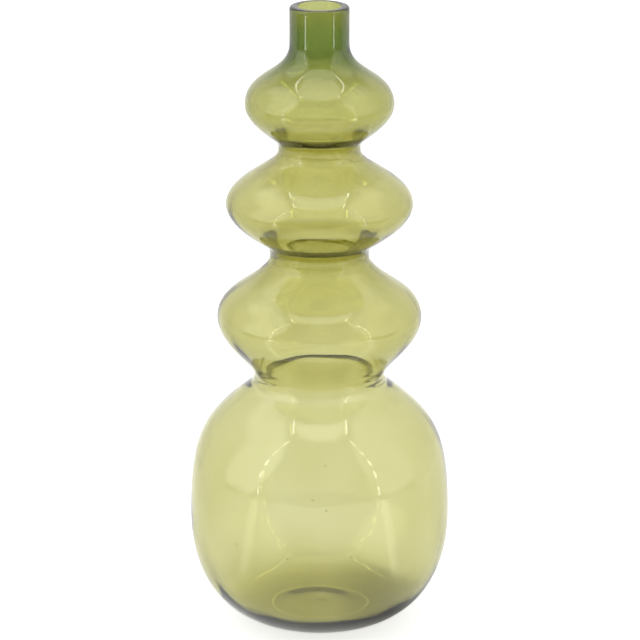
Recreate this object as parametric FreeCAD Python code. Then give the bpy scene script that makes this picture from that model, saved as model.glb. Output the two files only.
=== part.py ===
import FreeCAD, Part
import math
import os

# Blown glass vase: three flattened bulbs in a stack over a round body, with a short straight neck
# Millimetres, +Z up, the origin on the table under the centre of the foot

# Radii of the outer skin, from the foot up
FOOT_RADIUS = 28.5
BODY_RADIUS = 75.0
LOWER_WAIST_RADIUS = 37.4
LOWER_BULB_RADIUS = 58.4
MIDDLE_WAIST_RADIUS = 28.3
MIDDLE_BULB_RADIUS = 53.2
UPPER_WAIST_RADIUS = 23.2
UPPER_BULB_RADIUS = 42.2
NECK_RADIUS = 16.9

# Rises from one level to the next, from the foot up
FOOT_TO_BODY = 63.1
BODY_TO_LOWER_WAIST = 83.7
LOWER_WAIST_TO_BULB = 34.5
LOWER_BULB_TO_WAIST = 37.0
MIDDLE_WAIST_TO_BULB = 29.9
MIDDLE_BULB_TO_WAIST = 32.1
UPPER_WAIST_TO_BULB = 25.3
UPPER_BULB_TO_NECK = 35.1
NECK_LENGTH = 21.0

# Wall thickness of the glass at each level, thin where it was blown out and thick where it was not
BASE_WALL = 5.5
BODY_WALL = 2.0
LOWER_WAIST_WALL = 2.6
LOWER_BULB_WALL = 2.5
MIDDLE_WAIST_WALL = 4.6
MIDDLE_BULB_WALL = 2.7
UPPER_WAIST_WALL = 4.2
UPPER_BULB_WALL = 3.0
SHOULDER_WALL = 2.4

# Groove pressed in at each waist: radius of its round bottom, and its angle from upright below and above
LOWER_GROOVE_RADIUS = 7.7
LOWER_ANGLE_BELOW = 50.8
LOWER_ANGLE_ABOVE = 25.5
MIDDLE_GROOVE_RADIUS = 9.4
MIDDLE_ANGLE_BELOW = 40.8
MIDDLE_ANGLE_ABOVE = 36.7
UPPER_GROOVE_RADIUS = 7.3
UPPER_ANGLE_BELOW = 40.1
UPPER_ANGLE_ABOVE = 35.9

# Bore of each waist: how far its narrowest point lies above the groove's, the shares of the curves below
# and above over which the wall thickens towards it, and how full the blend is at the bore and at its far end
LOWER_BORE_LIFT = 1.0
MIDDLE_BORE_LIFT = 4.0
UPPER_BORE_LIFT = 2.5
LOWER_THICK_SHARES = (0.15, 0.15)
MIDDLE_THICK_SHARES = (0.5, 0.35)
UPPER_THICK_SHARES = (0.5, 0.4)
LOWER_BLEND_SHARES = (0.3, 0.3)
MIDDLE_BLEND_SHARES = (0.4, 0.3)
UPPER_BLEND_SHARES = (0.4, 0.3)

# Fullness of each curve: how far it pulls along its own direction, where it leaves and where it arrives
FOOT_PULL = 14.4
BODY_PULL_BELOW = 51.2
BODY_PULL_ABOVE = 50.7
LOWER_WAIST_PULL_BELOW = 32.5
LOWER_WAIST_PULL_ABOVE = 8.6
LOWER_BULB_PULL_BELOW = 12.7
LOWER_BULB_PULL_ABOVE = 15.5
MIDDLE_WAIST_PULL_BELOW = 19.1
MIDDLE_WAIST_PULL_ABOVE = 3.1
MIDDLE_BULB_PULL_BELOW = 11.7
MIDDLE_BULB_PULL_ABOVE = 12.2
UPPER_WAIST_PULL_BELOW = 8.7
UPPER_WAIST_PULL_ABOVE = 3.6
UPPER_BULB_PULL_BELOW = 9.7
UPPER_BULB_PULL_ABOVE = 18.6
NECK_PULL = 17.6

# Mouth with its straight bore and its fire-polished lip
MOUTH_RADIUS = 12.0
THROAT_DROP = 2.0
THROAT_THICK_SHARE = 0.75
THROAT_BLEND_SHARES = (0.4, 0.3)
RIM_HEIGHT = 4.0
LIP_OUTER_ROUND = 1.8
LIP_INNER_ROUND = 0.8

# Pushed-up base inside the ring that the vase stands on
PUNT_RADIUS = 25.4
PUNT_DEPTH = 2.4
PUNT_PULL = 11.0
FLOOR_PULL = 5.0
FLOOR_RISE = 2.0
HEEL_HEIGHT = 13.0

# How far a cutting rectangle reaches past the glass
OVERRUN = 5.0


def point(radius, level):
    """A point of the half section, which lies in the plane of X and Z."""
    return FreeCAD.Vector(radius, 0, level)


def inward_normal(start, end):
    """The unit normal on the left of a leg that runs up the outer skin, which points into the glass."""
    run = (end - start).normalize()
    return FreeCAD.Vector(-run.z, 0, run.x)


def corner_shift(normal_a, depth_a, normal_b, depth_b):
    """How a corner moves when its two legs move by these depths along these normals."""
    cross = normal_a.x * normal_b.z - normal_a.z * normal_b.x
    x = (depth_a * normal_b.z - depth_b * normal_a.z) / cross
    z = (depth_b * normal_a.x - depth_a * normal_b.x) / cross
    return FreeCAD.Vector(x, 0, z)


def inset_poles(poles, wall_start, wall_end):
    """The poles of the inner skin that lies one wall thickness behind a curve of the outer skin."""
    depths = [wall_start, (wall_start + wall_end) / 2, wall_end]
    normals = [inward_normal(a, b) for a, b in zip(poles, poles[1:])]
    moved = [poles[0] + normals[0] * wall_start]
    for i in (0, 1):
        moved.append(poles[i + 1] + corner_shift(normals[i], depths[i], normals[i + 1], depths[i + 1]))
    moved.append(poles[3] + normals[2] * wall_end)
    return moved


def curve(poles):
    bezier = Part.BezierCurve()
    bezier.setPoles(poles)
    return bezier.toShape()


def poles_up_to(poles, share):
    """The poles of the first part of a Bezier curve that is cut at this share of its parameter."""
    bezier = Part.BezierCurve()
    bezier.setPoles(poles)
    bezier.segment(0, share)
    return bezier.getPoles()


def poles_from(poles, share):
    bezier = Part.BezierCurve()
    bezier.setPoles(poles)
    bezier.segment(share, 1)
    return bezier.getPoles()


def blend(leaving, arriving, shares):
    """The curve that leaves the end of a run of poles along its last leg and arrives upright at the bore."""
    run = arriving - leaving[-1]
    side = (leaving[-1] - leaving[-2]).normalize() * (run.Length * shares[1])
    upright = FreeCAD.Vector(0, 0, math.copysign(run.Length * shares[0], run.z))
    return curve([leaving[-1], leaving[-1] + side, arriving - upright, arriving])


class Bulge:
    """A widest level, where both skins stand upright."""

    def __init__(self, radius, level, wall, pull_below, pull_above):
        self.radius = radius
        self.level = level
        self.wall = wall
        self.pull_below = pull_below
        self.pull_above = pull_above

    def arrival(self):
        """Last two poles of the curve that comes up to this level."""
        return [point(self.radius, self.level - self.pull_below), point(self.radius, self.level)]

    def departure(self):
        """First two poles of the curve that goes on above this level."""
        return [point(self.radius, self.level), point(self.radius, self.level + self.pull_above)]


class Waist:
    """A narrow level: a round groove outside and, inside, a bore that swells the wall smoothly round it."""

    def __init__(self, radius, level, wall, groove, angles, pulls, lift, thick_shares, blend_shares):
        self.level = level
        self.groove = groove
        self.centre = radius + groove
        self.angle_below = math.radians(angles[0])
        self.angle_above = math.radians(angles[1])
        self.pulls = pulls
        self.bore = point(radius - wall, level + lift)
        self.thick_shares = thick_shares
        self.blend_shares = blend_shares

    def on_groove(self, angle):
        """The point of the groove that faces this angle above the horizontal."""
        return point(self.centre - self.groove * math.cos(angle), self.level + self.groove * math.sin(angle))

    def arrival(self):
        end = self.on_groove(-self.angle_below)
        back = FreeCAD.Vector(math.sin(self.angle_below), 0, -math.cos(self.angle_below))
        return [end + back * self.pulls[0], end]

    def departure(self):
        start = self.on_groove(self.angle_above)
        ahead = FreeCAD.Vector(math.sin(self.angle_above), 0, math.cos(self.angle_above))
        return [start, start + ahead * self.pulls[1]]

    def arc(self):
        low = self.on_groove(-self.angle_below)
        return Part.Arc(low, self.on_groove(0), self.on_groove(self.angle_above)).toShape()

    def lower_cut(self):
        return self.on_groove(-self.angle_below).z

    def upper_cut(self):
        return self.on_groove(self.angle_above).z


BODY_LEVEL = FOOT_TO_BODY
LOWER_WAIST_LEVEL = BODY_LEVEL + BODY_TO_LOWER_WAIST
LOWER_BULB_LEVEL = LOWER_WAIST_LEVEL + LOWER_WAIST_TO_BULB
MIDDLE_WAIST_LEVEL = LOWER_BULB_LEVEL + LOWER_BULB_TO_WAIST
MIDDLE_BULB_LEVEL = MIDDLE_WAIST_LEVEL + MIDDLE_WAIST_TO_BULB
UPPER_WAIST_LEVEL = MIDDLE_BULB_LEVEL + MIDDLE_BULB_TO_WAIST
UPPER_BULB_LEVEL = UPPER_WAIST_LEVEL + UPPER_WAIST_TO_BULB
NECK_LEVEL = UPPER_BULB_LEVEL + UPPER_BULB_TO_NECK
TOP = NECK_LEVEL + NECK_LENGTH

body = Bulge(BODY_RADIUS, BODY_LEVEL, BODY_WALL, BODY_PULL_BELOW, BODY_PULL_ABOVE)
lower_waist = Waist(
    LOWER_WAIST_RADIUS, LOWER_WAIST_LEVEL, LOWER_WAIST_WALL, LOWER_GROOVE_RADIUS,
    (LOWER_ANGLE_BELOW, LOWER_ANGLE_ABOVE), (LOWER_WAIST_PULL_BELOW, LOWER_WAIST_PULL_ABOVE),
    LOWER_BORE_LIFT, LOWER_THICK_SHARES, LOWER_BLEND_SHARES,
)
lower_bulb = Bulge(
    LOWER_BULB_RADIUS, LOWER_BULB_LEVEL, LOWER_BULB_WALL, LOWER_BULB_PULL_BELOW, LOWER_BULB_PULL_ABOVE
)
middle_waist = Waist(
    MIDDLE_WAIST_RADIUS, MIDDLE_WAIST_LEVEL, MIDDLE_WAIST_WALL, MIDDLE_GROOVE_RADIUS,
    (MIDDLE_ANGLE_BELOW, MIDDLE_ANGLE_ABOVE), (MIDDLE_WAIST_PULL_BELOW, MIDDLE_WAIST_PULL_ABOVE),
    MIDDLE_BORE_LIFT, MIDDLE_THICK_SHARES, MIDDLE_BLEND_SHARES,
)
middle_bulb = Bulge(
    MIDDLE_BULB_RADIUS, MIDDLE_BULB_LEVEL, MIDDLE_BULB_WALL, MIDDLE_BULB_PULL_BELOW, MIDDLE_BULB_PULL_ABOVE
)
upper_waist = Waist(
    UPPER_WAIST_RADIUS, UPPER_WAIST_LEVEL, UPPER_WAIST_WALL, UPPER_GROOVE_RADIUS,
    (UPPER_ANGLE_BELOW, UPPER_ANGLE_ABOVE), (UPPER_WAIST_PULL_BELOW, UPPER_WAIST_PULL_ABOVE),
    UPPER_BORE_LIFT, UPPER_THICK_SHARES, UPPER_BLEND_SHARES,
)
upper_bulb = Bulge(
    UPPER_BULB_RADIUS, UPPER_BULB_LEVEL, UPPER_BULB_WALL, UPPER_BULB_PULL_BELOW, UPPER_BULB_PULL_ABOVE
)
neck = Bulge(NECK_RADIUS, NECK_LEVEL, SHOULDER_WALL, NECK_PULL, 0)
LEVELS = [body, lower_waist, lower_bulb, middle_waist, middle_bulb, upper_waist, upper_bulb, neck]


def outer_curves():
    """Outer edges from the body's widest level up to the neck."""
    edges = []
    for below, above in zip(LEVELS, LEVELS[1:]):
        edges.append(curve(below.departure() + above.arrival()))
        if isinstance(above, Waist):
            edges.append(above.arc())
    return edges


def waist_bore(below, waist, above):
    """The inner edges from one bulge over a waist to the next."""
    rise = inset_poles(below.departure() + waist.arrival(), below.wall, below.wall)
    fall = inset_poles(waist.departure() + above.arrival(), above.wall, above.wall)
    rise = poles_up_to(rise, 1 - waist.thick_shares[0])
    fall = poles_from(fall, waist.thick_shares[1])
    closing = blend(rise, waist.bore, waist.blend_shares)
    opening = blend(fall[::-1], waist.bore, waist.blend_shares)
    return [curve(rise), closing, opening, curve(fall)]


def neck_bore():
    """The inner edge from the upper bulb to the straight bore, and that bore up to the lip."""
    rise = inset_poles(upper_bulb.departure() + neck.arrival(), upper_bulb.wall, neck.wall)
    rise = poles_up_to(rise, 1 - THROAT_THICK_SHARE)
    throat = point(MOUTH_RADIUS, NECK_LEVEL - THROAT_DROP)
    bore_top = point(MOUTH_RADIUS, TOP - LIP_INNER_ROUND)
    return [curve(rise), blend(rise, throat, THROAT_BLEND_SHARES), Part.makeLine(throat, bore_top)]


def inner_curves():
    """Inner edges from the body's widest level up to the lip."""
    edges = waist_bore(body, lower_waist, lower_bulb)
    edges += waist_bore(lower_bulb, middle_waist, middle_bulb)
    edges += waist_bore(middle_bulb, upper_waist, upper_bulb)
    return edges + neck_bore()


def lip():
    """The straight neck's outside and the rounded lip, from the outside in."""
    outer_top = point(NECK_RADIUS, TOP - LIP_OUTER_ROUND)
    crown_outer = point(NECK_RADIUS - LIP_OUTER_ROUND, TOP)
    crown_inner = point(MOUTH_RADIUS + LIP_INNER_ROUND, TOP)
    inner_top = point(MOUTH_RADIUS, TOP - LIP_INNER_ROUND)
    return [
        Part.makeLine(point(NECK_RADIUS, NECK_LEVEL), outer_top),
        curve([outer_top, point(NECK_RADIUS, TOP), crown_outer]),
        Part.makeLine(crown_outer, crown_inner),
        curve([crown_inner, point(MOUTH_RADIUS, TOP), inner_top]),
    ]


def base():
    """The heel, the ring that the vase stands on, the pushed-up punt and the floor inside."""
    heel_poles = [point(FOOT_RADIUS, 0), point(FOOT_RADIUS + FOOT_PULL, 0)] + body.arrival()
    floor_poles = inset_poles(heel_poles, BASE_WALL, BODY_WALL)
    floor_edge = floor_poles[0]
    ring_edge = point(PUNT_RADIUS, 0)
    punt_top = point(0, PUNT_DEPTH)
    floor_top = point(0, BASE_WALL + FLOOR_RISE)
    underside = [punt_top, point(PUNT_RADIUS - PUNT_PULL, PUNT_DEPTH), ring_edge]
    floor_side = point(floor_edge.x - FLOOR_PULL, floor_edge.z)
    floor = [floor_edge, floor_side, point(FLOOR_PULL, floor_top.z), floor_top]
    outer = [Part.makeLine(ring_edge, point(FOOT_RADIUS, 0)), curve(heel_poles)]
    inner = [curve(floor_poles), curve(floor)]
    return outer, inner, [Part.makeLine(floor_top, punt_top), curve(underside)]


def half_section():
    """The whole half section of the glass as one face."""
    base_outer, base_inner, axis_side = base()
    edges = base_outer + outer_curves() + lip() + inner_curves() + base_inner + axis_side
    return Part.Face(Part.Wire(Part.__sortEdges__(edges)))


def window(radius_from, radius_to, level_from, level_to):
    """A rectangle in the plane of the half section."""
    corners = [
        point(radius_from, level_from),
        point(radius_to, level_from),
        point(radius_to, level_to),
        point(radius_from, level_to),
    ]
    return Part.Face(Part.makePolygon(corners + corners[:1]))


def pieces_in_section():
    """Each piece's name with the rectangle of the half section that it takes, from the mouth down."""
    reach = max(BODY_RADIUS, LOWER_BULB_RADIUS, MIDDLE_BULB_RADIUS, UPPER_BULB_RADIUS) + OVERRUN
    stack = [
        ("rim", TOP + OVERRUN),
        ("neck", TOP - RIM_HEIGHT),
        ("upper_bulb", NECK_LEVEL),
        ("upper_waist", upper_waist.upper_cut()),
        ("middle_bulb", upper_waist.lower_cut()),
        ("middle_waist", middle_waist.upper_cut()),
        ("lower_bulb", middle_waist.lower_cut()),
        ("lower_waist", lower_waist.upper_cut()),
        ("body", lower_waist.lower_cut()),
    ]
    floors = [top for name, top in stack[1:]] + [HEEL_HEIGHT]
    cutters = [(name, window(0, reach, floor, top)) for (name, top), floor in zip(stack, floors)]
    cutters.append(("heel", window(PUNT_RADIUS, reach, -OVERRUN, HEEL_HEIGHT)))
    cutters.append(("punt", window(0, PUNT_RADIUS, -OVERRUN, HEEL_HEIGHT)))
    return cutters


def write_pieces():
    """Turns each piece of the half section round the axis and writes it."""
    section = half_section()
    os.makedirs("parts", exist_ok=True)
    for name, cutter in pieces_in_section():
        faces = section.common(cutter).Faces
        solid = faces[0].revolve(FreeCAD.Vector(0, 0, 0), FreeCAD.Vector(0, 0, 1), 360)
        solid.exportStep("parts/" + name + ".step")
        print(name, "faces", len(faces), "valid", solid.isValid(), "volume", round(solid.Volume, 1))


write_pieces()
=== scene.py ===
import bpy
import math
import numpy as np
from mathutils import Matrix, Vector


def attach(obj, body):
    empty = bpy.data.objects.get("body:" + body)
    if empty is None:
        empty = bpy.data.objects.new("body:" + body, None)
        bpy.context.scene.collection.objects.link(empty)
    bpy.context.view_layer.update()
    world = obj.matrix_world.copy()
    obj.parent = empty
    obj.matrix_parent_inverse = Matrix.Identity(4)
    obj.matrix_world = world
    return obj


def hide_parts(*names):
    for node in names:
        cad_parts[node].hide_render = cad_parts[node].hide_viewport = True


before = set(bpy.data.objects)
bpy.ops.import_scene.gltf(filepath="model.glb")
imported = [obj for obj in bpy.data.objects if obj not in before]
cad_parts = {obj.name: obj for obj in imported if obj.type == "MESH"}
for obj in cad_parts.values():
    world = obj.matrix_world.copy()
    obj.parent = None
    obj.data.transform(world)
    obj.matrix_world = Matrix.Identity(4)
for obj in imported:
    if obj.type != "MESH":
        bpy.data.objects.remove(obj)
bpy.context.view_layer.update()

# Lengths are in millimetres, as in the part's own source, and MM turns them into metres
MM = 0.001


class Bulge:
    """A widest level, where both skins stand upright."""

    def __init__(self, radius, level, wall, pull_below, pull_above):
        self.wall = wall
        self.arrival = [(radius, level - pull_below), (radius, level)]
        self.departure = [(radius, level), (radius, level + pull_above)]


class Waist:
    """A narrow level: a round groove outside and, inside, a bore that swells the wall smoothly round it."""

    def __init__(self, radius, level, wall, groove, angles, pulls, bore_lift, thick_shares, blend_shares):
        self.radius = radius
        self.level = level
        self.wall = wall
        self.groove = groove
        self.low, self.high = math.radians(-angles[0]), math.radians(angles[1])
        self.thick_shares = thick_shares
        self.bore = np.array([radius - wall, level + bore_lift])
        self.blend_shares = blend_shares
        end, start = self.on_groove(self.low), self.on_groove(self.high)
        back = np.array([-math.sin(self.low), -math.cos(self.low)])
        ahead = np.array([math.sin(self.high), math.cos(self.high)])
        self.arrival = [end + back * pulls[0], end]
        self.departure = [start, start + ahead * pulls[1]]

    def on_groove(self, angle):
        across = self.radius + self.groove - self.groove * math.cos(angle)
        return np.array([across, self.level + self.groove * math.sin(angle)])

    def arc(self):
        sweep = self.high - self.low
        count = max(FEWEST_ARC_STEPS, round(sweep * self.groove / STEP * ARC_FINENESS))
        return np.array([self.on_groove(self.low + sweep * k / count) for k in range(count)])


# How finely the skins are cut: segments round, and steps along each curve, finer in the grooves
SEGMENTS = 144
STEP = 1.7
FEWEST_STEPS = 4
FEWEST_ARC_STEPS = 6
ARC_FINENESS = 2

# Neck and lip: its ground face lies just above the clear glass
TOP = 361.7
LIP_FACE_THICK = 0.04
GLASS_TOP = TOP - LIP_FACE_THICK
NECK_RADIUS = 16.9
NECK_LEVEL = 340.7
MOUTH_RADIUS = 12.0
THROAT_DROP = 2.0
THROAT_THICK_SHARE = 0.75
THROAT_BLEND_SHARES = (0.4, 0.3)
LIP_OUTER_ROUND = 1.8
LIP_INNER_ROUND = 0.8

# The levels from the body up, as in the part's own source, with their angles in degrees
BODY = Bulge(radius=75.0, level=63.1, wall=2.0, pull_below=51.2, pull_above=50.7)
LOWER_WAIST = Waist(
    radius=37.4, level=146.8, wall=2.6, groove=7.7, angles=(50.8, 25.5), pulls=(32.5, 8.6),
    bore_lift=1.0, thick_shares=(0.15, 0.15), blend_shares=(0.3, 0.3)
)
LOWER_BULB = Bulge(radius=58.4, level=181.3, wall=2.5, pull_below=12.7, pull_above=15.5)
MIDDLE_WAIST = Waist(
    radius=28.3, level=218.3, wall=4.6, groove=9.4, angles=(40.8, 36.7), pulls=(19.1, 3.1),
    bore_lift=4.0, thick_shares=(0.5, 0.35), blend_shares=(0.4, 0.3)
)
MIDDLE_BULB = Bulge(radius=53.2, level=248.2, wall=2.7, pull_below=11.7, pull_above=12.2)
UPPER_WAIST = Waist(
    radius=23.2, level=280.3, wall=4.2, groove=7.3, angles=(40.1, 35.9), pulls=(8.7, 3.6),
    bore_lift=2.5, thick_shares=(0.5, 0.4), blend_shares=(0.4, 0.3)
)
UPPER_BULB = Bulge(radius=42.2, level=305.6, wall=3.0, pull_below=9.7, pull_above=18.6)
NECK = Bulge(radius=NECK_RADIUS, level=NECK_LEVEL, wall=2.4, pull_below=17.6, pull_above=0.0)
WAISTS = [LOWER_WAIST, MIDDLE_WAIST, UPPER_WAIST]
LEVELS = [BODY, LOWER_WAIST, LOWER_BULB, MIDDLE_WAIST, MIDDLE_BULB, UPPER_WAIST, UPPER_BULB, NECK]

# Base with its pushed-up punt, eased into the narrow flat ring that it stands on
FOOT_RADIUS = 28.5
FOOT_PULL = 14.4
BASE_WALL = 5.5
PUNT_RADIUS = 25.4
PUNT_DEPTH = 2.4
PUNT_PULL = 11.0
PUNT_EASE = 2.0
FOOT_FLAT = 1.2
FLOOR_RISE = 2.0
FLOOR_PULL = 5.0


def unit(run):
    return run / np.linalg.norm(run)


def bezier(poles, count):
    """Points along a Bezier curve of any number of poles, without its last point."""
    degree = len(poles) - 1
    t = (np.arange(count) / count)[:, None]
    return sum(
        math.comb(degree, k) * (1 - t) ** (degree - k) * t ** k * np.array(pole, float)
        for k, pole in enumerate(poles)
    )


def curve(poles):
    length = sum(np.linalg.norm(np.subtract(b, a)) for a, b in zip(poles, poles[1:]))
    return bezier(poles, max(FEWEST_STEPS, round(length / STEP)))


def inward_normal(start, end):
    run = unit(np.subtract(end, start))
    return np.array([-run[1], run[0]])


def corner_shift(normal_a, depth_a, normal_b, depth_b):
    """How a corner moves when its two legs move by these depths along these normals."""
    return np.linalg.solve(np.array([normal_a, normal_b]), np.array([depth_a, depth_b]))


def inset_poles(poles, wall_start, wall_end):
    """The poles of the inner skin that lies one wall thickness behind a curve of the outer skin."""
    depths = [wall_start, (wall_start + wall_end) / 2, wall_end]
    normals = [inward_normal(a, b) for a, b in zip(poles, poles[1:])]
    moved = [poles[0] + normals[0] * wall_start]
    for i in (0, 1):
        moved.append(poles[i + 1] + corner_shift(normals[i], depths[i], normals[i + 1], depths[i + 1]))
    moved.append(poles[3] + normals[2] * wall_end)
    return moved


def split(poles, share):
    """The poles of the two parts of a Bezier curve that is cut at this share of its parameter."""
    before, after = [poles[0]], [poles[-1]]
    while len(poles) > 1:
        poles = [a + (b - a) * share for a, b in zip(poles, poles[1:])]
        before.append(poles[0])
        after.append(poles[-1])
    return before, after[::-1]


def outer_skin():
    """The outside from the middle of the punt to the top of the lip, as radius and height."""
    foot = (FOOT_RADIUS - FOOT_FLAT, 0.0)
    punt = [(0.0, PUNT_DEPTH), (PUNT_RADIUS - PUNT_PULL, PUNT_DEPTH), (PUNT_RADIUS - PUNT_EASE, 0.0), foot]
    parts = [
        curve(punt),
        curve([foot, (FOOT_RADIUS, 0.0)]),
        curve([(FOOT_RADIUS, 0.0), (FOOT_RADIUS + FOOT_PULL, 0.0)] + BODY.arrival),
    ]
    for below, above in zip(LEVELS, LEVELS[1:]):
        parts.append(curve(below.departure + above.arrival))
        if isinstance(above, Waist):
            parts.append(above.arc())
    crown, round_start = NECK_RADIUS - LIP_OUTER_ROUND, GLASS_TOP - LIP_OUTER_ROUND
    parts.append(curve([(NECK_RADIUS, NECK_LEVEL), (NECK_RADIUS, round_start)]))
    parts.append(curve([(NECK_RADIUS, round_start), (NECK_RADIUS, GLASS_TOP), (crown, GLASS_TOP)]))
    parts.append(curve([(crown, GLASS_TOP), (MOUTH_RADIUS + LIP_INNER_ROUND, GLASS_TOP)]))
    return np.vstack(parts)


def closing(rise, bore, shares):
    """The blend that brings the inner skin up from the end of one curve to stand upright at the bore."""
    reach = np.linalg.norm(bore - rise[3])
    side = unit(rise[3] - rise[2]) * reach * shares[1]
    return [rise[3], rise[3] + side, bore - np.array([0.0, reach * shares[0]]), bore]


def opening(bore, fall, shares):
    reach = np.linalg.norm(fall[0] - bore)
    side = unit(fall[1] - fall[0]) * reach * shares[1]
    return [bore, bore + np.array([0.0, reach * shares[0]]), fall[0] - side, fall[0]]


def waist_bore(below, waist, above):
    """The inner skin from one bulge over a waist to the next."""
    rise = inset_poles(below.departure + waist.arrival, below.wall, below.wall)
    fall = inset_poles(waist.departure + above.arrival, above.wall, above.wall)
    rise = split(rise, 1 - waist.thick_shares[0])[0]
    fall = split(fall, waist.thick_shares[1])[1]
    into = closing(rise, waist.bore, waist.blend_shares)
    out_of = opening(waist.bore, fall, waist.blend_shares)
    return [curve(poles) for poles in (rise, into, out_of, fall)]


def neck_bore():
    """The inner skin from the upper bulb to the straight bore, and up that bore to the lip."""
    rise = inset_poles(UPPER_BULB.departure + NECK.arrival, UPPER_BULB.wall, NECK.wall)
    rise = split(rise, 1 - THROAT_THICK_SHARE)[0]
    throat = np.array([MOUTH_RADIUS, NECK_LEVEL - THROAT_DROP])
    lip_top = GLASS_TOP - LIP_INNER_ROUND
    crown = MOUTH_RADIUS + LIP_INNER_ROUND
    return [
        curve(rise),
        curve(closing(rise, throat, THROAT_BLEND_SHARES)),
        curve([throat, (MOUTH_RADIUS, lip_top)]),
        curve([(MOUTH_RADIUS, lip_top), (MOUTH_RADIUS, GLASS_TOP), (crown, GLASS_TOP)]),
    ]


def inner_skin():
    """The inside from the middle of the floor to the top of the lip."""
    heel = [(FOOT_RADIUS, 0.0), (FOOT_RADIUS + FOOT_PULL, 0.0)] + BODY.arrival
    heel = inset_poles(heel, BASE_WALL, BODY.wall)
    floor_top = BASE_WALL + FLOOR_RISE
    edge = tuple(heel[0])
    parts = [
        curve([(0.0, floor_top), (FLOOR_PULL, floor_top), (edge[0] - FLOOR_PULL, edge[1]), edge]),
        curve(heel),
    ]
    for k in (0, 2, 4):
        parts.extend(waist_bore(*LEVELS[k:k + 3]))
    parts.extend(neck_bore())
    return np.vstack(parts)


# How much the blown skins swell and sink, with how many lobes round, and what keeps them inside the size
OUTER_WAVE_SHARE = 0.0036
INNER_WAVE_SHARE = 0.0060
OUTER_LOBES = (3, 5, 8, 11, 14)
INNER_LOBES = (2, 4, 7, 9, 13)
OUTER_PATTERN = 1
INNER_PATTERN = 8
WAVE_PEAK = 0.45

# The turn that sets one wave apart from the next, and how fast the waves lean as they climb, per millimetre
WAVE_TURN = 2.4
WAVE_LEAN = 0.05
WAVE_LEAN_SPREAD = 0.035

# The tool marks near each waist: depth and reach, broad and fine ones per millimetre, drift and fading
TOOL_MARK_DEPTH = 0.14
TOOL_MARK_REACH = 7.0
BROAD_MARK_RATE, FINE_MARK_RATE = 1.3, 2.2
BROAD_MARK_DRIFT, FINE_MARK_DRIFT = 1.4, 1.1
DRIFT_LOBES, FADE_LOBES = (2, 5), 3
FINE_MARK_SHARE = 0.5
SMALL_DRIFT_SHARE = 0.6
MARK_LEVEL_SHARE, MARK_FADE_SHARE = 0.6, 0.4


def waviness(angle, level, lobes, pattern):
    """A smooth uneven sum of waves round the vase and up it, between about -1 and 1."""
    total = 0.0
    for k, lobe in enumerate(lobes):
        turn = WAVE_TURN * (k + pattern)
        rate = WAVE_LEAN + WAVE_LEAN_SPREAD * math.sin(turn)
        total = total + np.sin(lobe * angle + level * rate + turn) * np.cos(level * rate / 2 - turn)
    return total / len(lobes)


def tool_marks(angle, level, pattern):
    """Short ridges round the glass near each waist, where the tool pressed it in."""
    near = sum(np.exp(-((level - waist.level) / TOOL_MARK_REACH) ** 2) for waist in WAISTS)
    drift = np.sin(DRIFT_LOBES[0] * angle + pattern)
    drift = drift + SMALL_DRIFT_SHARE * np.sin(DRIFT_LOBES[1] * angle + 2 * pattern)
    broad = np.sin(level * BROAD_MARK_RATE + BROAD_MARK_DRIFT * drift)
    fine = np.sin(level * FINE_MARK_RATE - FINE_MARK_DRIFT * drift + pattern)
    fading = MARK_LEVEL_SHARE + MARK_FADE_SHARE * np.sin(FADE_LOBES * angle + FADE_LOBES * pattern)
    return near * (broad + FINE_MARK_SHARE * fine) * fading


def turns_round():
    return np.arange(SEGMENTS) / SEGMENTS * 2 * math.pi


def swelled(skin, share, lobes, pattern):
    """Rings of points for one skin, each swelled a little by its own waviness."""
    angle = turns_round()
    radius, level = skin[:, :1], skin[:, 1:]
    radius = radius * (1 + share * (waviness(angle, level, lobes, pattern) - WAVE_PEAK))
    radius = radius + TOOL_MARK_DEPTH * tool_marks(angle, level, pattern)
    height = np.repeat(level, SEGMENTS, axis=1)
    return np.stack([radius * np.cos(angle), radius * np.sin(angle), height], axis=2)


def swelled_outside(skin):
    return swelled(skin, OUTER_WAVE_SHARE, OUTER_LOBES, OUTER_PATTERN)


def swelled_inside(skin):
    return swelled(skin, INNER_WAVE_SHARE, INNER_LOBES, INNER_PATTERN)


def link(name, verts, faces):
    mesh = bpy.data.meshes.new(name)
    mesh.from_pydata((verts * MM).tolist(), [], faces)
    mesh.polygons.foreach_set("use_smooth", [True] * len(mesh.polygons))
    mesh.update()
    piece = bpy.data.objects.new(name, mesh)
    bpy.context.scene.collection.objects.link(piece)
    return piece


def between(first, second):
    """The faces between two rings of points, given the number of each ring's first point."""
    steps = [(k, (k + 1) % SEGMENTS) for k in range(SEGMENTS)]
    return [(first + k, first + after, second + after, second + k) for k, after in steps]


def closed_ring(name, rings):
    """A closed mesh of rings of points, each joined to the next and the last to the first."""
    faces = []
    for ring in range(len(rings)):
        faces += between(ring * SEGMENTS, (ring + 1) % len(rings) * SEGMENTS)
    return link(name, rings.reshape(-1, 3), faces)


# The small seeds in the body: their turn from the front in degrees and their level, radius and cuts
SEEDS = [(3, 114), (-3, 96), (3, 90), (-39, 64), (-14, 61), (14, 62)]
SEED_RADIUS = 0.42
SEED_CUTS = 10


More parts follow.
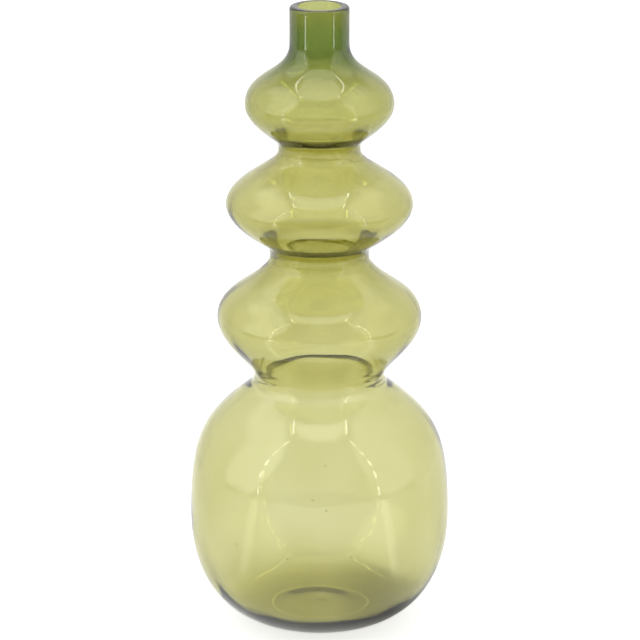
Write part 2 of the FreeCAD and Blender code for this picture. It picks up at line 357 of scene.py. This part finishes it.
def seed(outer, turn, level):
    """Points and faces of one small round bubble in the middle of the wall, facing inwards."""
    above_foot = outer[outer[:, 1] > PUNT_DEPTH]
    reach = np.interp(level, above_foot[:, 1], above_foot[:, 0]) - BODY.wall / 2
    angle = math.radians(turn) - math.pi / 2
    middle = np.array([reach * math.cos(angle), reach * math.sin(angle), level])
    round_angle = np.arange(SEED_CUTS) / SEED_CUTS * 2 * math.pi
    points = [middle - [0, 0, SEED_RADIUS], middle + [0, 0, SEED_RADIUS]]
    for k in range(1, SEED_CUTS):
        tilt = math.pi * k / SEED_CUTS - math.pi / 2
        for a in round_angle:
            along = [math.cos(tilt) * math.cos(a), math.cos(tilt) * math.sin(a), math.sin(tilt)]
            points.append(middle + SEED_RADIUS * np.array(along))
    faces = []
    top_ring = 2 + (SEED_CUTS - 2) * SEED_CUTS
    for k in range(SEED_CUTS):
        after = (k + 1) % SEED_CUTS
        faces.append((0, 2 + k, 2 + after))
        faces.append((1, top_ring + after, top_ring + k))
        for ring in range(SEED_CUTS - 2):
            low, high = 2 + ring * SEED_CUTS, 2 + (ring + 1) * SEED_CUTS
            faces.append((low + k, high + k, high + after, low + after))
    return np.array(points), faces


def whole_lathe(name, outer, inner):
    """One closed mesh from the outer skin and the inner skin, both from the axis to the lip."""
    rings = np.vstack([swelled_outside(outer[1:]), swelled_inside(inner[1:])[::-1]])
    ends = np.array([[0, 0, outer[0, 1]], [0, 0, inner[0, 1]]])
    verts = np.vstack([rings.reshape(-1, 3), ends])
    faces = []
    for ring in range(len(rings) - 1):
        faces += between(ring * SEGMENTS, (ring + 1) * SEGMENTS)
    first, last, tail = len(verts) - 2, len(verts) - 1, (len(rings) - 1) * SEGMENTS
    for k in range(SEGMENTS):
        after = (k + 1) % SEGMENTS
        faces.append((first, after, k))
        faces.append((last, tail + k, tail + after))
    for turn, level in SEEDS:
        points, round_faces = seed(outer, turn, level)
        faces += [tuple(len(verts) + corner for corner in face) for face in round_faces]
        verts = np.vstack([verts, points])
    return link(name, verts, faces)


def resampled(skin, count):
    """The same run of radius and height as this many evenly spaced points."""
    along = np.concatenate([[0], np.cumsum(np.linalg.norm(np.diff(skin, axis=0), axis=1))])
    at = np.linspace(0, along[-1], count)
    return np.stack([np.interp(at, along, skin[:, 0]), np.interp(at, along, skin[:, 1])], axis=1)


# The greener core: a faint layer in the upper bulb, most of the wall up the neck, and less at the lip
CORE_START = 284.0
FAINT_FULL = 299.0
FAINT_SHARE = 0.12
DENSE_START = 310.0
DENSE_FULL = 340.0
DENSE_STEEPNESS = 1.6
FADE_START = 346.0
CORE_LIP_SHARE = 0.35
CORE_LIP_DROP = 1.0
CORE_CLEAR_SHARE = 0.04
CORE_LEAST_SHARE = 0.01
CORE_RINGS = 60


def between_levels(skin, low, high):
    return skin[(skin[:, 1] >= low) & (skin[:, 1] <= high)]


def eased(level, start, end):
    """0 at the start level and 1 at the end level, with no corner at either."""
    share = np.clip((level - start) / (end - start), 0, 1)
    return share * share * (3 - 2 * share)


def core_lathe(name, outer, inner):
    """A closed ring of greener glass in the wall, thin low down and nearly as thick as the wall above."""
    top = TOP - CORE_LIP_DROP
    outside = swelled_outside(resampled(between_levels(outer, CORE_START, top), CORE_RINGS))
    inside = swelled_inside(resampled(between_levels(inner, CORE_START, top), CORE_RINGS))
    across = inside - outside
    level = outside[:, :, 2:]
    faint = FAINT_SHARE * eased(level, CORE_START, FAINT_FULL)
    dense = (1 - FAINT_SHARE) * eased(level, DENSE_START, DENSE_FULL) ** DENSE_STEEPNESS
    left = 1 - (1 - CORE_LIP_SHARE) * eased(level, FADE_START, top)
    thick = np.maximum((faint + dense) * left, CORE_LEAST_SHARE) * (1 - 2 * CORE_CLEAR_SHARE)
    front = outside + across * CORE_CLEAR_SHARE
    return closed_ring(name, np.vstack([front, (front + across * thick)[::-1]]))


DEGREES = 180 / math.pi


class Graph:
    """Adds nodes to a node tree and returns their outputs, so that a shader reads as sums."""

    def __init__(self, tree):
        self.nodes = tree.nodes
        self.links = tree.links
        self.nodes.clear()

    def put(self, socket, value):
        if isinstance(value, bpy.types.NodeSocket):
            self.links.new(value, socket)
        else:
            socket.default_value = value

    def math(self, kind, a, b=0.0):
        node = self.nodes.new("ShaderNodeMath")
        node.operation = kind
        self.put(node.inputs[0], a)
        self.put(node.inputs[1], b)
        return node.outputs[0]

    def ramp(self, value, start, end):
        """0 before start and 1 after end, or the other way round where end is the smaller."""
        node = self.nodes.new("ShaderNodeMapRange")
        node.interpolation_type = "SMOOTHSTEP"
        low, high = min(start, end), max(start, end)
        self.put(node.inputs["Value"], value)
        node.inputs["From Min"].default_value = low
        node.inputs["From Max"].default_value = high
        node.inputs["To Min"].default_value = 0.0 if start < end else 1.0
        node.inputs["To Max"].default_value = 1.0 if start < end else 0.0
        return node.outputs["Result"]

    def band(self, value, low, high, soft):
        """1 between low and high, fading to 0 over a soft edge on each side."""
        rise = self.ramp(value, low - soft, low + soft)
        fall = self.ramp(value, high + soft, high - soft)
        return self.times(rise, fall)

    def times(self, a, b):
        return self.math("MULTIPLY", a, b)

    def plus(self, a, b):
        return self.math("ADD", a, b)

    def turn(self, x, y):
        """The angle from straight behind the vase, in degrees to either side."""
        return self.times(self.math("ABSOLUTE", self.math("ARCTAN2", x, y)), DEGREES)

    def mix(self, factor, a, b):
        node = self.nodes.new("ShaderNodeMix")
        node.data_type = "FLOAT"
        self.put(node.inputs["Factor"], factor)
        self.put(node.inputs["A"], a)
        self.put(node.inputs["B"], b)
        return node.outputs["Result"]


# The clear olive glass and the greener core: how they bend light, and the colour and density they take
GLASS_BENDING = 1.52
GLASS_COLOUR = (0.665, 0.652, 0.11, 1)
GLASS_DENSITY = 352.0
CORE_COLOUR = (0.15, 0.58, 0.45, 1)
CORE_DENSITY = 104.0


def absorbing(g, colour, density):
    volume = g.nodes.new("ShaderNodeVolumeAbsorption")
    volume.inputs["Color"].default_value = colour
    volume.inputs["Density"].default_value = density
    return volume.outputs[0]


def glass():
    material = bpy.data.materials.new("olive_glass")
    material.use_nodes = True
    g = Graph(material.node_tree)
    shader = g.nodes.new("ShaderNodeBsdfPrincipled")
    shader.inputs["Base Color"].default_value = (1, 1, 1, 1)
    shader.inputs["Roughness"].default_value = 0.0
    shader.inputs["IOR"].default_value = GLASS_BENDING
    shader.inputs["Transmission Weight"].default_value = 1.0
    out = g.nodes.new("ShaderNodeOutputMaterial")
    g.put(out.inputs["Surface"], shader.outputs[0])
    g.put(out.inputs["Volume"], absorbing(g, GLASS_COLOUR, GLASS_DENSITY))
    return material


def core_glass():
    """Glass that bends light as the glass round it does, so only its colour shows."""
    material = bpy.data.materials.new("green_core")
    material.use_nodes = True
    g = Graph(material.node_tree)
    shader = g.nodes.new("ShaderNodeBsdfTransparent")
    out = g.nodes.new("ShaderNodeOutputMaterial")
    g.put(out.inputs["Surface"], shader.outputs[0])
    g.put(out.inputs["Volume"], absorbing(g, CORE_COLOUR, CORE_DENSITY))
    return material


# The ground face of the lip: how far its edges keep from the rounds, its colour, and how clear it is
LIP_FACE_INSET = 0.1
LIP_FACE_COLOUR = (0.50, 0.49, 0.50, 1)
LIP_FACE_CLEAR_SHARE = 0.5


def frosted():
    """The matt ground face: half of the light passes and the rest is scattered."""
    material = bpy.data.materials.new("frosted_lip")
    material.use_nodes = True
    g = Graph(material.node_tree)
    pale = g.nodes.new("ShaderNodeBsdfDiffuse")
    pale.inputs["Color"].default_value = LIP_FACE_COLOUR
    clear = g.nodes.new("ShaderNodeBsdfTransparent")
    both = g.nodes.new("ShaderNodeMixShader")
    g.put(both.inputs[0], LIP_FACE_CLEAR_SHARE)
    g.put(both.inputs[1], pale.outputs[0])
    g.put(both.inputs[2], clear.outputs[0])
    out = g.nodes.new("ShaderNodeOutputMaterial")
    g.put(out.inputs["Surface"], both.outputs[0])
    return material


def lip_ring(name):
    """The flat ground face on top of the lip, a thin ring."""
    angle = turns_round()
    near = MOUTH_RADIUS + LIP_INNER_ROUND + LIP_FACE_INSET
    far = NECK_RADIUS - LIP_OUTER_ROUND - LIP_FACE_INSET
    rings = []
    for radius, level in [(near, GLASS_TOP), (far, GLASS_TOP), (far, TOP), (near, TOP)]:
        height = np.full(SEGMENTS, level)
        rings.append(np.stack([radius * np.cos(angle), radius * np.sin(angle), height], axis=1))
    return closed_ring(name, np.stack(rings))


def dress(piece, material):
    """Gives a piece its material and its place among the part's bodies."""
    piece.data.materials.append(material)
    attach(piece, "root")


def build_vase():
    outer, inner = outer_skin(), inner_skin()
    dress(lip_ring("ground_lip"), frosted())
    vase = whole_lathe("blown_glass", outer, inner)
    dress(vase, glass())
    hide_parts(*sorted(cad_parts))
    dress(core_lathe("greener_core", outer, inner), core_glass())


# The table, in metres, with its colour and its own glow as the camera sees it and as the glass does
TABLE_FRONT = -1.2
TABLE_BACK = 3.0
TABLE_SIDE = 0.85
TABLE_COLOUR = (0.55, 0.55, 0.545, 1)
TABLE_SEEN_GLOW = 0.72
TABLE_GLOW = 0.48

# Its glow under the vase, left and right: a painted pool of light on the left and a painted shadow on the
# right, with how near that is and where the left turns into the right
PAINTED_POOL_AND_SHADOW_GLOWS = (0.66, 0.10)
PAINTED_POOL_AND_SHADOW_REACH = (0.08, 0.055)
PAINTED_POOL_AND_SHADOW_TURNOVER = (0.0, 0.055)

# Painted bars of light in its glow, where the front strips would throw light on it: their turn in degrees
# and where they start
PAINTED_BAR_TURNS = (119.5, 126.5)
PAINTED_BAR_SOFTNESS = 1.5
PAINTED_BAR_FROM = (0.10, 0.16)
PAINTED_BAR_GLOW = 0.9


def build_floor():
    mesh = bpy.data.meshes.new("floor")
    corners = [(-TABLE_SIDE, TABLE_FRONT, 0), (TABLE_SIDE, TABLE_FRONT, 0)]
    corners += [(TABLE_SIDE, TABLE_BACK, 0), (-TABLE_SIDE, TABLE_BACK, 0)]
    mesh.from_pydata(corners, [], [(0, 1, 2, 3)])
    floor = bpy.data.objects.new("floor", mesh)
    bpy.context.scene.collection.objects.link(floor)
    material = bpy.data.materials.new("floor")
    material.use_nodes = True
    g = Graph(material.node_tree)
    diffuse = g.nodes.new("ShaderNodeBsdfDiffuse")
    diffuse.inputs["Color"].default_value = TABLE_COLOUR
    glow = g.nodes.new("ShaderNodeEmission")
    both = g.nodes.new("ShaderNodeAddShader")
    g.put(both.inputs[0], diffuse.outputs[0])
    where = g.nodes.new("ShaderNodeTexCoord")
    axes = g.nodes.new("ShaderNodeSeparateXYZ")
    g.put(axes.inputs[0], where.outputs["Object"])
    x, y = axes.outputs[0], axes.outputs[1]
    away = g.math("SQRT", g.plus(g.times(x, x), g.times(y, y)))
    # Painted bars of light on the table, where the front strips would throw them
    painted_bars = g.times(g.band(g.turn(x, y), *PAINTED_BAR_TURNS, PAINTED_BAR_SOFTNESS), g.ramp(away, *PAINTED_BAR_FROM))
    # Painted pool of light left of the vase's foot and painted shadow right of it, in the glow that the
    # glass sees
    near = g.mix(g.ramp(x, *PAINTED_POOL_AND_SHADOW_TURNOVER), *PAINTED_POOL_AND_SHADOW_GLOWS)
    own = g.mix(g.ramp(away, *PAINTED_POOL_AND_SHADOW_REACH), TABLE_GLOW, near)
    own = g.plus(own, g.times(painted_bars, PAINTED_BAR_GLOW))
    path = g.nodes.new("ShaderNodeLightPath")
    g.put(glow.inputs["Strength"], g.mix(path.outputs["Is Camera Ray"], own, TABLE_SEEN_GLOW))
    g.put(both.inputs[1], glow.outputs[0])
    out = g.nodes.new("ShaderNodeOutputMaterial")
    g.put(out.inputs["Surface"], both.outputs[0])
    mesh.materials.append(material)


# Brightness of the studio by direction, left before right, and the plain white that the camera sees
BACKDROP = 1.05
SIDE_BACKDROP = 1.12
SOFTBOXES = (2.05, 1.5)
MIDDLE = 0.42
TOP_LIGHT = 2.0
STRIP = 6.5
LOW_STRIP = 5.5
SEEN_BACKDROP = 1.0

# Where the soft lights begin: sideways, less with height, above the table, and from left to right
SOFTBOX_SHARES = (0.82, 0.90)
SOFTBOX_LEAN = 0.5
SOFTBOX_FOOT_SHARES = (-0.12, -0.02)
SOFTBOX_TURNOVER_SHARES = (-0.1, 0.1)
TOP_LIGHT_SHARES = (0.92, 0.955)

# Where the backdrop ends, from the vase backwards and upwards
BACKDROP_EDGE_SHARES = (0.0, 0.12)
BACKDROP_TOP_SHARES = (0.72, 0.56)

# The strips: one post on each side in front, in degrees round and up, that goes on overhead
STRIP_TURNS = (123.4, 125.0)
STRIP_SOFTNESS = 0.3
STRIP_ENDS = (-2, 66)
STRIP_END_SOFTNESS = 1.0
LOW_STRIP_TURNS = (121.0, 127.0)
LOW_STRIP_SOFTNESS = 0.5
LOW_STRIP_ENDS = (-30, -8)
OVERHEAD_SHARES = (0.325, 0.345)
OVERHEAD_SOFTNESS = 0.004
OVERHEAD_RISE_SHARES = (0.6, 0.7)
OVERHEAD_FRONT_SHARES = (-0.24, -0.22)

# The clips that break the strips up: how closely they follow, and how much of each step they hide
CLIP_RATE = 19.0
CLIP_SHARES = (-0.5, 0.3)


def strips(g, x, y, z):
    """How brightly the strips shine in this direction."""
    turn, climb = g.turn(x, y), g.math("ARCSINE", z)
    elevation = g.times(climb, DEGREES)
    ends = g.band(elevation, *STRIP_ENDS, STRIP_END_SOFTNESS)
    post = g.times(g.band(turn, *STRIP_TURNS, STRIP_SOFTNESS), ends)
    low_ends = g.band(elevation, *LOW_STRIP_ENDS, STRIP_END_SOFTNESS)
    low_post = g.times(g.band(turn, *LOW_STRIP_TURNS, LOW_STRIP_SOFTNESS), low_ends)
    arm = g.band(g.math("ABSOLUTE", x), *OVERHEAD_SHARES, OVERHEAD_SOFTNESS)
    arm = g.times(arm, g.ramp(z, *OVERHEAD_RISE_SHARES))
    arm = g.times(arm, g.ramp(y, *OVERHEAD_FRONT_SHARES))
    along = g.times(g.plus(climb, y), CLIP_RATE)
    gaps = g.ramp(g.math("SINE", along), *CLIP_SHARES)
    high = g.times(g.times(g.plus(post, arm), gaps), STRIP)
    return g.plus(high, g.times(low_post, LOW_STRIP))


def build_world():
    """The studio by direction: a pale backdrop, soft lights, strips, and a darker middle in front."""
    world = bpy.data.worlds.new("studio")
    bpy.context.scene.world = world
    world.use_nodes = True
    g = Graph(world.node_tree)
    where = g.nodes.new("ShaderNodeTexCoord")
    axes = g.nodes.new("ShaderNodeSeparateXYZ")
    g.put(axes.inputs[0], where.outputs["Generated"])
    x, y, z = axes.outputs
    leaning = g.plus(g.math("ABSOLUTE", x), g.times(z, SOFTBOX_LEAN))
    at_side = g.ramp(leaning, *SOFTBOX_SHARES)
    softbox = g.mix(g.ramp(x, *SOFTBOX_TURNOVER_SHARES), *SOFTBOXES)
    tent = g.mix(g.ramp(z, *TOP_LIGHT_SHARES), MIDDLE, TOP_LIGHT)
    tent = g.mix(g.times(at_side, g.ramp(z, *SOFTBOX_FOOT_SHARES)), tent, softbox)
    behind = g.times(g.ramp(y, *BACKDROP_EDGE_SHARES), g.ramp(z, *BACKDROP_TOP_SHARES))
    light = g.mix(behind, tent, g.mix(at_side, BACKDROP, SIDE_BACKDROP))
    light = g.plus(light, strips(g, x, y, z))
    path = g.nodes.new("ShaderNodeLightPath")
    seen = g.mix(path.outputs["Is Camera Ray"], light, SEEN_BACKDROP)
    background = g.nodes.new("ShaderNodeBackground")
    g.put(background.inputs["Color"], seen)
    out = g.nodes.new("ShaderNodeOutputWorld")
    g.put(out.inputs["Surface"], background.outputs[0])


# The camera: its pitch in degrees, distance and aim in metres, and lens and sensor in millimetres
CAMERA_PITCH = 17.8
CAMERA_DISTANCE = 1.829
CAMERA_AIM = (0.0003, 0, 0.1787)
CAMERA_LENS = 180.0
CAMERA_SENSOR = 36.0


def build_camera():
    pitch = math.radians(CAMERA_PITCH)
    data = bpy.data.cameras.new("camera")
    data.lens = CAMERA_LENS
    data.sensor_width = CAMERA_SENSOR
    camera = bpy.data.objects.new("camera", data)
    bpy.context.scene.collection.objects.link(camera)
    back = Vector((0, -math.cos(pitch), math.sin(pitch)))
    camera.location = Vector(CAMERA_AIM) + back * CAMERA_DISTANCE
    camera.rotation_euler = (-back).to_track_quat("-Z", "Y").to_euler()
    bpy.context.scene.camera = camera


# How often light may bounce: through the glass's many skins, and off them
GLASS_BOUNCES = 32
GLOSSY_BOUNCES = 16

build_camera()
build_vase()
build_floor()
build_world()
scene = bpy.context.scene
scene.view_settings.view_transform = "Standard"
scene.cycles.max_bounces = GLASS_BOUNCES
scene.cycles.transmission_bounces = GLASS_BOUNCES
scene.cycles.glossy_bounces = GLOSSY_BOUNCES
scene.cycles.transparent_max_bounces = GLASS_BOUNCES
